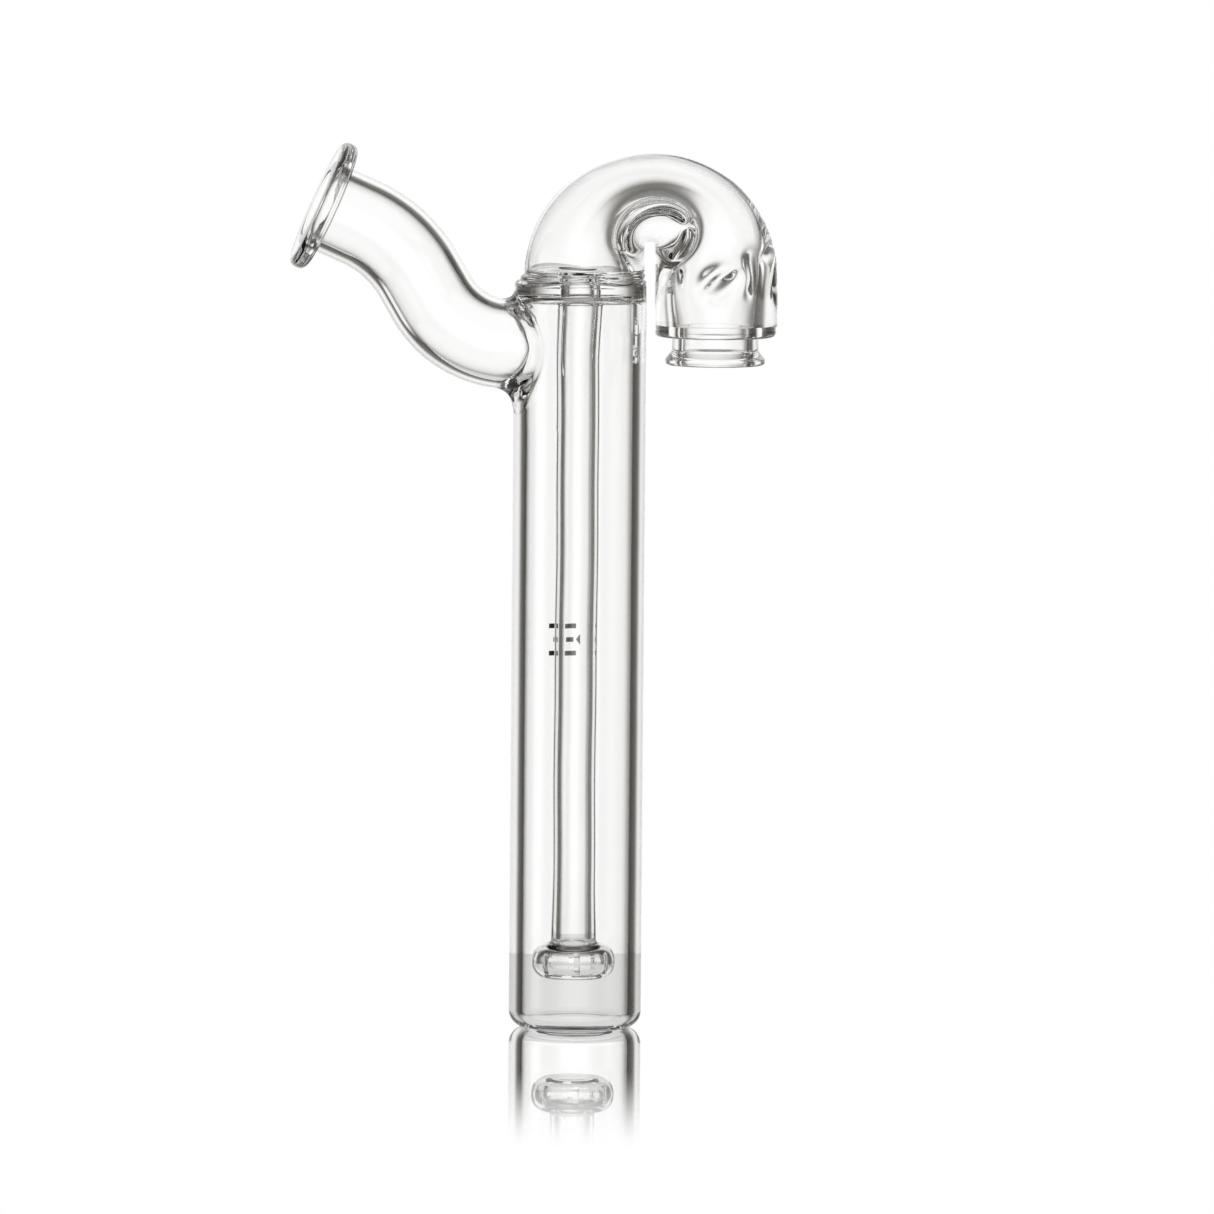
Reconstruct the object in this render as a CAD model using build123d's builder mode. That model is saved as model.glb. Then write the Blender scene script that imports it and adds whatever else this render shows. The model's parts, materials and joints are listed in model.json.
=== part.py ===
from build123d import *
import math
import os

os.makedirs("parts", exist_ok=True)

# A lampworked borosilicate water bubbler tube, in millimetres.
# Frame: +Z up, origin at the centre of the base's underside, +X towards the gooseneck's
# outlet, -X towards the mouthpiece, -Y the front. All the glass is fused: nothing moves.

# ---- driving dimensions ------------------------------------------------------------------
tube_r = 12.5  # body tubing, outer radius
wall = 2.5  # body tubing wall
bore_r = tube_r - wall

floor_z = 2.2  # chamber floor
base_corner_r = 3.8  # outer corner of the base
floor_corner_r = 2.7  # inner corner of the floor
base_rim_z = 5.0  # where the base ends and the body tube begins

seal_low_z = 138.9  # ceiling of the chamber
seal_shoulder_z = 140.5  # where the body tube ends and the outside starts to draw in
seal_high_z = 143.5  # weld between the ring seal and the gooseneck

stem_r = 4.25  # downstem tubing, outer radius
stem_bore_r = 2.7
stem_flare_r = 1.7  # fillet where the stem spreads into the seal and the puck

puck_low_z = 9.4
puck_high_z = 16.0
puck_r = 7.85
puck_side_r = 2.9  # rounding of the puck's rim
puck_wall = 1.1
slit_count = 8
slit_width = 1.1
slit_height = 4.4

# The gooseneck's outside follows a circle, and its legs close to a narrow slot under a fold.
crook_x, crook_z = 13.3, 141.9  # centre of the outer circle
crook_r = 24.0
fold_x, fold_z = 13.1, 147.6  # centre of the slot's round top
fold_r = 1.0
slot_leg_x = 14.1  # the drop leg's face on the slot
crook_half_width = 11.5  # half the gooseneck's depth, front to back
side_wall = 2.1  # glass on the front and the back of the gooseneck
drop_mid_z = 137.6  # level halfway down the drop leg

# Pinches in the drop leg, which hold packing back from the bend.
pinch_angles = (-93, 27, 147)
pinch_z = 141.8
pinch_r = 3.4
pinch_wall = 2.1
pinch_reach = 11.2  # from the leg's axis to the middle of a pinch

shoulder_low_z = 130.9
shoulder_high_z = 133.0
shoulder_corner_r = 1.0
outlet_x = 25.6
shoulder_r = 11.5
outlet_bore_r = 6.0
outlet_neck_r = 8.15
bead_r = 9.45
bead_corner_r = 0.4
bead_low_z, bead_side_z, bead_top_z = 125.6, 127.1, 128.9

# The mouthpiece arm is an S bend in the XZ plane; each rise is an angle above horizontal.
arm_r = 8.45
arm_bore_r = 6.45
arm_start_x = -5.0  # inside the body, where the arm is trimmed off
root_x, root_z = -15.5, 129.6
root_rise, middle_rise, mouth_rise = 8.0, 60.0, 24.0
low_bend_r, high_bend_r = 17.5, 24.0
middle_run, mouth_run = 4.9, 5.9
collar_r = 2.2  # weld fillet round the arm's root

flange_r = 12.7
flange_bore_r = 6.45
flange_thick = 3.3
flange_corner_r = 1.3

mark_x, mark_z = -2.4, 72.7  # middle of the printed fill mark on the back
mark_thick = 0.12
mark_bar_high = 0.9
mark_bar_pitch = 2.6
mark_bar_lengths = (6.4, 4.2, 6.4)
mark_pointer = 2.4  # side of the triangle beside the middle bar

# Glass on the fold side and on the crown side of the bore, at each angle round the fold.
fan_walls = {
    180: (5.2, 1.5),
    150: (5.6, 1.3),
    120: (6.0, 1.2),
    90: (6.6, 1.2),
    60: (6.8, 1.3),
    30: (5.9, 1.9),
    0: (4.1, 2.7),
}
# The same in the two legs, by level.
seal_leg_walls = {seal_high_z: (4.1, 1.4)}
drop_leg_walls = {crook_z: (2.9, 3.4), drop_mid_z: (2.9, 3.7), shoulder_high_z: (3.1, 3.8)}


def fan_direction(angle):
    """Unit direction in the XZ plane: 0 degrees is +X and 90 degrees is up."""
    return Vector(math.cos(math.radians(angle)), 0, math.sin(math.radians(angle)))


def crown_reach(angle):
    """Distance from the fold's centre out to the gooseneck's outer circle."""
    offset = Vector(fold_x - crook_x, 0, fold_z - crook_z)
    along = offset.dot(fan_direction(angle))
    return math.sqrt(crook_r**2 - offset.dot(offset) + along**2) - along


def fan_section(angle, near, far):
    """Plane and half height of the section at one angle, between two distances."""
    direction = fan_direction(angle)
    middle = Vector(fold_x, 0, fold_z) + direction * ((near + far) / 2)
    plane = Plane(origin=middle, x_dir=direction, z_dir=direction.cross(Vector(0, 1, 0)))
    return plane, (far - near) / 2


def leg_section(slot_x, crown_x, z):
    """Plane and half width of a leg's level section, from its slot face to its outside."""
    side = math.copysign(1, crown_x - slot_x)
    plane = Plane(origin=((slot_x + crown_x) / 2, 0, z), x_dir=(side, 0, 0), z_dir=(0, 0, -side))
    return plane, abs(crown_x - slot_x) / 2


def crown_x(side, z):
    """The outside of a leg: on the outer circle above its centre, straight down below it."""
    rise = max(z - crook_z, 0)
    return crook_x + side * math.sqrt(crook_r**2 - rise**2)


def gooseneck_sections(with_walls):
    """Sections from the ring seal over the bend to the shoulder, outside or bore."""
    sections = []
    for z, walls in seal_leg_walls.items():
        fold_wall, crown_wall = walls if with_walls else (0, 0)
        sections.append(leg_section(fold_x - fold_r - fold_wall, crown_x(-1, z) + crown_wall, z))
    for angle, walls in fan_walls.items():
        fold_wall, crown_wall = walls if with_walls else (0, 0)
        sections.append(fan_section(angle, fold_r + fold_wall, crown_reach(angle) - crown_wall))
    for z, walls in drop_leg_walls.items():
        fold_wall, crown_wall = walls if with_walls else (0, 0)
        sections.append(leg_section(slot_leg_x + fold_wall, crown_x(1, z) - crown_wall, z))
    return sections


# ---- base and body -----------------------------------------------------------------------
with BuildPart() as base_disc:
    with BuildSketch(Plane.XZ) as base_profile:
        with BuildLine():
            Polyline(
                (0, 0),
                (tube_r, 0),
                (tube_r, base_rim_z),
                (bore_r, base_rim_z),
                (bore_r, floor_z),
                (0, floor_z),
                close=True,
            )
        make_face()
        fillet(base_profile.vertices().sort_by_distance((tube_r, 0))[0], base_corner_r)
        fillet(base_profile.vertices().sort_by_distance((bore_r, floor_z))[0], floor_corner_r)
    revolve(axis=Axis.Z)
base_disc.part.label = "base_disc"
export_step(base_disc.part, "parts/base_disc.step")

# The arm's centreline, in the four lengths that it is drawn in.
with BuildLine(Plane.XZ) as arm_root_path:
    start_z = root_z - (arm_start_x - root_x) * math.tan(math.radians(root_rise))
    entry = Line((arm_start_x, start_z), (root_x, root_z))
    JernArc(entry @ 1, entry % 1, low_bend_r, (root_rise - middle_rise) / 2)
arm_root_line = arm_root_path.wire()

with BuildLine(Plane.XZ) as arm_low_path:
    bend = JernArc(
        arm_root_line @ 1, arm_root_line % 1, low_bend_r, (root_rise - middle_rise) / 2
    )
    Line(bend @ 1, bend @ 1 + (bend % 1) * (middle_run / 2))
arm_low_line = arm_low_path.wire()

with BuildLine(Plane.XZ) as arm_high_path:
    climb = Line(arm_low_line @ 1, arm_low_line @ 1 + (arm_low_line % 1) * (middle_run / 2))
    JernArc(climb @ 1, climb % 1, high_bend_r, (middle_rise - mouth_rise) / 2)
arm_high_line = arm_high_path.wire()

with BuildLine(Plane.XZ) as arm_mouth_path:
    bend = JernArc(
        arm_high_line @ 1, arm_high_line % 1, high_bend_r, (middle_rise - mouth_rise) / 2
    )
    Line(bend @ 1, bend @ 1 + (bend % 1) * mouth_run)
arm_mouth_line = arm_mouth_path.wire()


def arm_ring(line):
    """Section of the arm where a length of its centreline starts."""
    with BuildSketch(Plane(origin=line @ 0, z_dir=line % 0)) as ring:
        Circle(arm_r)
        Circle(arm_bore_r, mode=Mode.SUBTRACT)
    return ring.sketch


with BuildPart() as body_tube:
    with BuildSketch(Plane.XY.offset(base_rim_z)):
        Circle(tube_r)
        Circle(bore_r, mode=Mode.SUBTRACT)
    extrude(amount=seal_shoulder_z - base_rim_z)
    with BuildSketch(Plane(origin=entry @ 0, z_dir=entry % 0)):
        Circle(arm_bore_r)
    sweep(path=entry, mode=Mode.SUBTRACT)
body_tube.part.label = "body_tube"
export_step(body_tube.part, "parts/body_tube.step")

# ---- ring seal, downstem and puck --------------------------------------------------------
with BuildPart() as ring_seal:
    with BuildSketch(Plane.XY.offset(seal_low_z)):
        Circle(bore_r)
    extrude(amount=seal_shoulder_z - seal_low_z)
    seal_top, seal_top_half = gooseneck_sections(with_walls=False)[0]
    with BuildSketch(Plane.XY.offset(seal_shoulder_z)):
        Circle(tube_r)
    with BuildSketch(Plane.XY.offset(seal_high_z)):
        with Locations((seal_top.origin.X, 0)):
            Ellipse(seal_top_half, crook_half_width)
    loft()
    with Locations((0, 0, seal_high_z)):
        Hole(stem_bore_r)
ring_seal.part.label = "ring_seal"
export_step(ring_seal.part, "parts/ring_seal.step")

with BuildPart() as downstem:
    with BuildSketch(Plane.XZ) as stem_profile:
        with BuildLine():
            Polyline(
                (stem_bore_r, puck_high_z),
                (stem_r + stem_flare_r, puck_high_z),
                (stem_r, puck_high_z + stem_flare_r),
                (stem_r, seal_low_z - stem_flare_r),
                (stem_r + stem_flare_r, seal_low_z),
                (stem_bore_r, seal_low_z),
                close=True,
            )
        make_face()
        low_elbow = stem_profile.vertices().sort_by_distance((stem_r, puck_high_z + stem_flare_r))[0]
        high_elbow = stem_profile.vertices().sort_by_distance((stem_r, seal_low_z - stem_flare_r))[0]
        fillet((low_elbow, high_elbow), stem_flare_r)
    revolve(axis=Axis.Z)
downstem.part.label = "downstem"
export_step(downstem.part, "parts/downstem.step")

with BuildPart() as diffuser_puck:
    with BuildSketch(Plane.XY.offset(puck_low_z)):
        Circle(puck_r)
    extrude(amount=puck_high_z - puck_low_z)
    fillet(diffuser_puck.edges().filter_by(GeomType.CIRCLE), puck_side_r)
    with BuildSketch(Plane.XY.offset(puck_low_z + puck_wall)):
        Circle(puck_r - puck_wall)
    hollow = extrude(amount=puck_high_z - puck_low_z - 2 * puck_wall, mode=Mode.PRIVATE)
    hollow = hollow.fillet(puck_side_r - puck_wall, hollow.edges().filter_by(GeomType.CIRCLE))
    add(hollow, mode=Mode.SUBTRACT)
    with BuildSketch(Plane.XY.offset(puck_high_z)):
        Circle(stem_bore_r)
    extrude(amount=-2 * puck_wall, mode=Mode.SUBTRACT)
    slit_z = (puck_low_z + puck_high_z) / 2
    with Locations((0, 0, slit_z)):
        with PolarLocations(puck_r, slit_count, start_angle=90):
            Box(3 * puck_wall, slit_width, slit_height, mode=Mode.SUBTRACT)
diffuser_puck.part.label = "diffuser_puck"
export_step(diffuser_puck.part, "parts/diffuser_puck.step")

# ---- gooseneck and outlet ----------------------------------------------------------------
pinch_planes = []
for angle in pinch_angles:
    outward = Vector(math.cos(math.radians(angle)), math.sin(math.radians(angle)), 0)
    pinch_middle = Vector(outlet_x, 0, pinch_z) + outward * pinch_reach
    pinch_planes.append(Plane(origin=pinch_middle, z_dir=outward))

with BuildPart() as gooseneck_bore:
    for plane, half in gooseneck_sections(with_walls=True):
        with BuildSketch(plane):
            Ellipse(half, crook_half_width - side_wall)
    loft()
    with Locations(*pinch_planes):
        Sphere(pinch_r + pinch_wall, mode=Mode.SUBTRACT)

with BuildPart() as gooseneck:
    for plane, half in gooseneck_sections(with_walls=False):
        with BuildSketch(plane):
            Ellipse(half, crook_half_width)
    loft()
    add(gooseneck_bore.part, mode=Mode.SUBTRACT)
    with Locations(*pinch_planes):
        Sphere(pinch_r, mode=Mode.SUBTRACT)

# The gooseneck's two halves meet at its crown.
crown_plane = Plane(origin=(fold_x, 0, 0), z_dir=(1, 0, 0))
with BuildPart() as gooseneck_rise:
    add(gooseneck.part)
    split(bisect_by=crown_plane, keep=Keep.BOTTOM)
gooseneck_rise.part.label = "gooseneck_rise"
export_step(gooseneck_rise.part, "parts/gooseneck_rise.step")

with BuildPart() as gooseneck_drop:
    add(gooseneck.part)
    split(bisect_by=crown_plane, keep=Keep.TOP)
gooseneck_drop.part.label = "gooseneck_drop"
export_step(gooseneck_drop.part, "parts/gooseneck_drop.step")

with BuildPart() as outlet_shoulder:
    with BuildSketch(Plane.XY.offset(shoulder_low_z)):
        with Locations((outlet_x, 0)):
            Circle(shoulder_r)
    extrude(amount=shoulder_high_z - shoulder_low_z)
    rim_edge = outlet_shoulder.edges().filter_by(GeomType.CIRCLE).sort_by(Axis.Z)[0]
    fillet(rim_edge, shoulder_corner_r)
    with Locations((outlet_x, 0, shoulder_high_z)):
        Hole(outlet_bore_r)
outlet_shoulder.part.label = "outlet_shoulder"
export_step(outlet_shoulder.part, "parts/outlet_shoulder.step")

with BuildPart() as outlet_neck:
    with BuildSketch(Plane.XZ.move(Location((outlet_x, 0, 0)))) as neck_profile:
        with BuildLine():
            Polyline(
                (outlet_bore_r, bead_low_z),
                (bead_r, bead_low_z),
                (bead_r, bead_side_z),
                (outlet_neck_r, bead_top_z),
                (outlet_neck_r, shoulder_low_z),
                (outlet_bore_r, shoulder_low_z),
                close=True,
            )
        make_face()
        fillet(neck_profile.vertices().sort_by_distance((bead_r, bead_low_z))[0], bead_corner_r)
        fillet(neck_profile.vertices().sort_by_distance((bead_r, bead_side_z))[0], bead_corner_r)
    revolve(axis=Axis((outlet_x, 0, 0), (0, 0, 1)))
outlet_neck.part.label = "outlet_neck"
export_step(outlet_neck.part, "parts/outlet_neck.step")

# ---- mouthpiece --------------------------------------------------------------------------
with BuildPart() as arm_root_bend:
    sweep(sections=arm_ring(arm_root_line), path=arm_root_line)
    with BuildSketch(Plane.XY.offset(base_rim_z)):
        Circle(tube_r)
    extrude(amount=seal_high_z, mode=Mode.SUBTRACT)
arm_root_bend.part.label = "arm_root_bend"
export_step(arm_root_bend.part, "parts/arm_root_bend.step")

with BuildPart() as arm_low_climb:
    sweep(sections=arm_ring(arm_low_line), path=arm_low_line)
arm_low_climb.part.label = "arm_low_climb"
export_step(arm_low_climb.part, "parts/arm_low_climb.step")

with BuildPart() as arm_high_climb:
    sweep(sections=arm_ring(arm_high_line), path=arm_high_line)
arm_high_climb.part.label = "arm_high_climb"
export_step(arm_high_climb.part, "parts/arm_high_climb.step")

with BuildPart() as arm_mouth_bend:
    sweep(sections=arm_ring(arm_mouth_line), path=arm_mouth_line)
arm_mouth_bend.part.label = "arm_mouth_bend"
export_step(arm_mouth_bend.part, "parts/arm_mouth_bend.step")

with BuildPart() as arm_collar:
    with BuildSketch(Plane.XY.offset(base_rim_z)):
        Circle(tube_r)
    extrude(amount=seal_high_z)
    with BuildSketch(Plane(origin=entry @ 0, z_dir=entry % 0)):
        Circle(arm_r)
    sweep(path=entry)
    saddle = arm_collar.edges().filter_by(GeomType.BSPLINE)
    fillet(saddle, collar_r)
    with BuildSketch(Plane.XY.offset(base_rim_z)):
        Circle(tube_r)
    extrude(amount=seal_high_z, mode=Mode.SUBTRACT)
    with BuildSketch(Plane(origin=entry @ 0, z_dir=entry % 0)):
        Circle(arm_r)
    sweep(path=entry, mode=Mode.SUBTRACT)
arm_collar.part.label = "arm_collar"
export_step(arm_collar.part, "parts/arm_collar.step")

with BuildPart() as mouthpiece_flange:
    with BuildSketch(Plane(origin=arm_mouth_line @ 1, z_dir=arm_mouth_line % 1)):
        Circle(flange_r)
    extrude(amount=flange_thick)
    fillet(mouthpiece_flange.edges().filter_by(GeomType.CIRCLE), flange_corner_r)
    with BuildSketch(Plane(origin=arm_mouth_line @ 1, z_dir=arm_mouth_line % 1)):
        Circle(flange_bore_r)
    extrude(amount=flange_thick, mode=Mode.SUBTRACT)
mouthpiece_flange.part.label = "mouthpiece_flange"
export_step(mouthpiece_flange.part, "parts/mouthpiece_flange.step")

# ---- printed fill mark -------------------------------------------------------------------
with BuildPart() as fill_mark:
    with BuildSketch(Plane.XY.offset(mark_z - 2 * mark_bar_pitch)):
        Circle(tube_r + mark_thick)
        Circle(tube_r, mode=Mode.SUBTRACT)
    extrude(amount=4 * mark_bar_pitch)
    with BuildSketch(Plane.XZ.offset(-tube_r - mark_thick)):
        for row, length in enumerate(mark_bar_lengths):
            with Locations((mark_x, mark_z + (row - 1) * mark_bar_pitch)):
                Rectangle(length, mark_bar_high)
        with Locations((mark_x + mark_bar_lengths[0] / 2 + mark_pointer / 2, mark_z)):
            RegularPolygon(mark_pointer / 2, 3, rotation=180)
    extrude(amount=tube_r, mode=Mode.INTERSECT)
fill_mark.part.label = "fill_mark"
export_step(fill_mark.part, "parts/fill_mark.step")
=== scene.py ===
import json
import math

import bmesh
import bpy
from mathutils import Matrix, Vector, noise


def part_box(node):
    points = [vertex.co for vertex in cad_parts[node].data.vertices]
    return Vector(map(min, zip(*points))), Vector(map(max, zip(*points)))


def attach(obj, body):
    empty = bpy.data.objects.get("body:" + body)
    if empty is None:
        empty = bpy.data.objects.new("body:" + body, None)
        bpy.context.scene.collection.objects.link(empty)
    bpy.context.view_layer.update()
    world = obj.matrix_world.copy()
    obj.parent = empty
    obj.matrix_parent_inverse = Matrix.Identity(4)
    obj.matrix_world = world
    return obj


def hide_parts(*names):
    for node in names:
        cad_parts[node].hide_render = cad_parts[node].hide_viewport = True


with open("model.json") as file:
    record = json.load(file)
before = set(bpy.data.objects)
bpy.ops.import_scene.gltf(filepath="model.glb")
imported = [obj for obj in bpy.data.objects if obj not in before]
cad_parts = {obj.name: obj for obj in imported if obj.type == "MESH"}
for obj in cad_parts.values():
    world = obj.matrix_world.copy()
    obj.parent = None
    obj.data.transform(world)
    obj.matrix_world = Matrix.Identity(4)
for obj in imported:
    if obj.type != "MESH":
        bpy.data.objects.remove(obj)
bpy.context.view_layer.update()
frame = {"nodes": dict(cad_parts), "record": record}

# Lengths are in millimetres until a mesh is made, and METRE turns them into the frame's metres.
METRE = 0.001
SEGMENTS = 256  # round a tube
SHARP_EDGE = math.radians(35)  # edges sharper than this are not smoothed over
GLASS, WELD = 0, 1  # material slots of every glass piece


# ---- what the frame says -------------------------------------------------------------------
def node_box(node):
    """Lowest and highest corner of a CAD node, in millimetres."""
    low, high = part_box(node)
    return low / METRE, high / METRE


def mount(name):
    """A mount of the record: its position in millimetres and its dimensions."""
    found = next(m for m in frame["record"]["mounts"] if m["name"] == name)
    return Vector(found["pos_m"]) / METRE, found["dims"]


tube_low, tube_high = node_box("body_tube")
seal_low, seal_high = node_box("ring_seal")
stem_low, stem_high = node_box("downstem")
puck_low, puck_high = node_box("diffuser_puck")
shoulder_low, shoulder_high = node_box("outlet_shoulder")
neck_low, neck_high = node_box("outlet_neck")
rise_low, rise_high = node_box("gooseneck_rise")
drop_high = node_box("gooseneck_drop")[1]
outlet_point, outlet_dims = mount("outlet_bore")
mouth_dims = mount("mouthpiece_bore")[1]
bead_dims = mount("outlet_bead")[1]

# ---- driving dimensions --------------------------------------------------------------------
tube_r = tube_high.y
bore_r = tube_r - 2.5
base_rim_z = tube_low.z
floor_z = 1.7
base_corner_r = 3.1
floor_corner_r = 1.5

ceiling_z = seal_low.z
ceiling_corner_r = 1.8
shoulder_z = tube_high.z
seal_top_z = seal_high.z

stem_r = 4.25
stem_bore_r = 2.7
stem_flare = 1.7

puck_r = puck_high.x
puck_side_r = 2.9
puck_wall = 1.5
slit_count = 8
slit_width = 1.1
slit_height = 4.4

crook_r = (drop_high.x - rise_low.x) / 2
crook_centre = Vector((13.3, 0, 141.9))
fold = Vector((rise_high.x, 0, 147.6))
fold_r = 1.0
slot_leg_x = 14.1
crook_half_width = rise_high.y
side_wall = 2.1

outlet_x = outlet_point.x
outlet_bore_r = outlet_dims["r_mm"]
outlet_neck_r = 8.15
bead_r = bead_dims["r_mm"]
shoulder_r = shoulder_high.x - outlet_x

arm_r = 8.45
arm_bore_r = mouth_dims["r_mm"]
arm_root = Vector((-15.5, 0, 129.6))
root_rise, middle_rise, mouth_rise = 8.0, 60.0, 24.0
low_bend_r, high_bend_r = 17.5, 24.0
middle_run, mouth_run = 4.9, 5.9

flange_r = 12.7
flange_thick = 3.3
flange_corner_r = 1.3


# ---- small geometry helpers ----------------------------------------------------------------
def smooth_step(low, high, value):
    """0 below low, 1 above high, and an even S between them."""
    t = min(max((value - low) / (high - low), 0), 1)
    return t * t * (3 - 2 * t)


def smooth_lookup(table, key):
    """Catmull-Rom interpolation in a list of (key, value) pairs sorted by key."""
    keys = [k for k, _ in table]
    values = [v for _, v in table]
    if key <= keys[0]:
        return values[0]
    if key >= keys[-1]:
        return values[-1]
    i = next(n for n in range(len(keys) - 1) if key <= keys[n + 1])
    t = (key - keys[i]) / (keys[i + 1] - keys[i])
    p0, p1 = values[max(i - 1, 0)], values[i]
    p2, p3 = values[i + 1], values[min(i + 2, len(values) - 1)]
    curve = 2 * p1 + (p2 - p0) * t + (2 * p0 - 5 * p1 + 4 * p2 - p3) * t**2
    return (curve + (3 * p1 - p0 - 3 * p2 + p3) * t**3) / 2


def circle(centre_x, radius, z):
    """A level ring of points round a vertical axis at centre_x."""
    return ellipse(centre_x, radius, radius, z)


def ellipse(centre_x, half_x, half_y, z):
    """A level elliptical ring of points."""
    turns = [2 * math.pi * k / SEGMENTS for k in range(SEGMENTS)]
    return [Vector((centre_x + half_x * math.cos(t), half_y * math.sin(t), z)) for t in turns]


def ring_about(centre, across, up, radius, angles):
    """A ring of points round centre in the plane of two unit vectors."""
    return [centre + (across * math.cos(t) + up * math.sin(t)) * radius for t in angles]


def arc(centre_r, centre_z, radius, start, end, steps=8):
    """Profile points on an arc, with angles in degrees from outward, positive up."""
    turns = [math.radians(start + (end - start) * k / steps) for k in range(steps + 1)]
    return [(centre_r + radius * math.cos(t), centre_z + radius * math.sin(t)) for t in turns]


class Solid:
    """A mesh put together from rings of points, with a material slot on every face."""

    def __init__(self):
        self.points = []
        self.faces = []
        self.slots = []

    def ring(self, points):
        start = len(self.points)
        self.points += points
        return list(range(start, start + len(points)))

    def face(self, corners, slot):
        self.faces.append(corners)
        self.slots.append(slot)

    def join(self, first, second, slot=GLASS, closed=True):
        """Faces between two rings; a ring of one point makes a fan."""
        count = max(len(first), len(second))
        for k in range(count if closed else count - 1):
            n = (k + 1) % count
            if len(first) == 1:
                self.face([first[0], second[n], second[k]], slot)
            elif len(second) == 1:
                self.face([first[k], first[n], second[0]], slot)
            else:
                self.face([first[k], first[n], second[n], second[k]], slot)

    def loop(self, rings):
        """Joins (points, slot) rings one to the next; the slot is that of the faces that follow."""
        rows = [(self.ring(points), slot) for points, slot in rings]
        for (row, slot), (after, _) in zip(rows, rows[1:]):
            self.join(row, after, slot)
        if len(rows[0][0]) > 1 or len(rows[-1][0]) > 1:
            self.join(rows[-1][0], rows[0][0], rows[-1][1])

    def piece(self, name, node):
        """Makes the Blender object that stands for a CAD node."""
        mesh = bpy.data.meshes.new(name)
        mesh.from_pydata([p * METRE for p in self.points], [], self.faces)
        for material in (glass_material(), weld_material()):
            mesh.materials.append(material)
        mesh.polygons.foreach_set("material_index", self.slots)
        shape = bmesh.new()
        shape.from_mesh(mesh)
        bmesh.ops.remove_doubles(shape, verts=shape.verts, dist=1e-8)
        bmesh.ops.recalc_face_normals(shape, faces=shape.faces)
        shape.to_mesh(mesh)
        shape.free()
        mesh.shade_smooth()
        mesh.set_sharp_from_angle(angle=SHARP_EDGE)
        made = bpy.data.objects.new(name, mesh)
        bpy.context.scene.collection.objects.link(made)
        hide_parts(node)
        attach(made, "root")
        return made


def lathe(centre_x, profile):
    """Rings for Solid.loop from profile entries (radius, z, slot)."""
    rings = []
    for radius, z, slot in profile:
        if radius == 0:
            rings.append(([Vector((centre_x, 0, z))], slot))
        else:
            rings.append((circle(centre_x, radius, z), slot))
    return rings


def glazed(points):
    """Profile points whose faces are bare glass."""
    return [(radius, z, GLASS) for radius, z in points]


# ---- materials -----------------------------------------------------------------------------
made_materials = {}


def glass_material():
    """Clear borosilicate glass with faint draw lines and worked waviness."""
    if "glass" in made_materials:
        return made_materials["glass"]
    material = bpy.data.materials.new("clear_borosilicate")
    material.use_nodes = True
    nodes, links = material.node_tree.nodes, material.node_tree.links
    shader = nodes["Principled BSDF"]
    shader.inputs["Base Color"].default_value = (0.993, 0.992, 0.989, 1)
    shader.inputs["Transmission Weight"].default_value = 1.0
    shader.inputs["Roughness"].default_value = 0.0
    shader.inputs["IOR"].default_value = 1.472
    place = nodes.new("ShaderNodeTexCoord")
    normal = None
    worked_waves = ((130, 130, 90), 1.0, 0.00001)
    draw_lines = ((650, 650, 45), 2.0, 0.0000012)
    for stretch, detail, height in (worked_waves, draw_lines):
        grain = nodes.new("ShaderNodeMapping")
        grain.inputs["Scale"].default_value = stretch
        links.new(place.outputs["Object"], grain.inputs["Vector"])
        wave = nodes.new("ShaderNodeTexNoise")
        wave.inputs["Scale"].default_value = 1.0
        wave.inputs["Detail"].default_value = detail
        links.new(grain.outputs["Vector"], wave.inputs["Vector"])
        bump = nodes.new("ShaderNodeBump")
        bump.inputs["Distance"].default_value = height
        links.new(wave.outputs["Fac"], bump.inputs["Height"])
        if normal is not None:
            links.new(normal, bump.inputs["Normal"])
        normal = bump.outputs["Normal"]
    links.new(normal, shader.inputs["Normal"])
    made_materials["glass"] = material
    return material


def weld_material():
    """Where two pieces are fused there is no surface, so light goes straight through."""
    if "weld" in made_materials:
        return made_materials["weld"]
    material = bpy.data.materials.new("fused_joint")
    material.use_nodes = True
    nodes, links = material.node_tree.nodes, material.node_tree.links
    nodes.remove(nodes["Principled BSDF"])
    clear = nodes.new("ShaderNodeBsdfTransparent")
    links.new(clear.outputs["BSDF"], nodes["Material Output"].inputs["Surface"])
    made_materials["weld"] = material
    return material


def ink_material():
    """Fired-on ceramic ink, with the fine mottle of a screen print."""
    material = bpy.data.materials.new("ceramic_ink")
    material.use_nodes = True
    nodes, links = material.node_tree.nodes, material.node_tree.links
    shader = nodes["Principled BSDF"]
    place = nodes.new("ShaderNodeTexCoord")
    mottle = nodes.new("ShaderNodeTexNoise")
    mottle.inputs["Scale"].default_value = 2600
    mottle.inputs["Detail"].default_value = 3
    links.new(place.outputs["Object"], mottle.inputs["Vector"])
    tone = nodes.new("ShaderNodeValToRGB")
    tone.color_ramp.elements[0].color = (0.014, 0.014, 0.017, 1)
    tone.color_ramp.elements[1].color = (0.05, 0.05, 0.055, 1)
    links.new(mottle.outputs["Fac"], tone.inputs["Fac"])
    links.new(tone.outputs["Color"], shader.inputs["Base Color"])
    gloss = nodes.new("ShaderNodeMapRange")
    gloss.inputs["To Min"].default_value = 0.35
    gloss.inputs["To Max"].default_value = 0.6
    links.new(mottle.outputs["Fac"], gloss.inputs["Value"])
    links.new(gloss.outputs["Result"], shader.inputs["Roughness"])
    return material


# ---- camera --------------------------------------------------------------------------------
camera_azimuth = -5.0
camera_away = 2500.0  # level distance from the body's axis
camera_height = 285.0
camera_roll = 0.48
aim = Vector((5.5, 0, 79.7))
picture_width = 1214
frame_scale = 5.292  # pixels to a millimetre at the object

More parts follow.
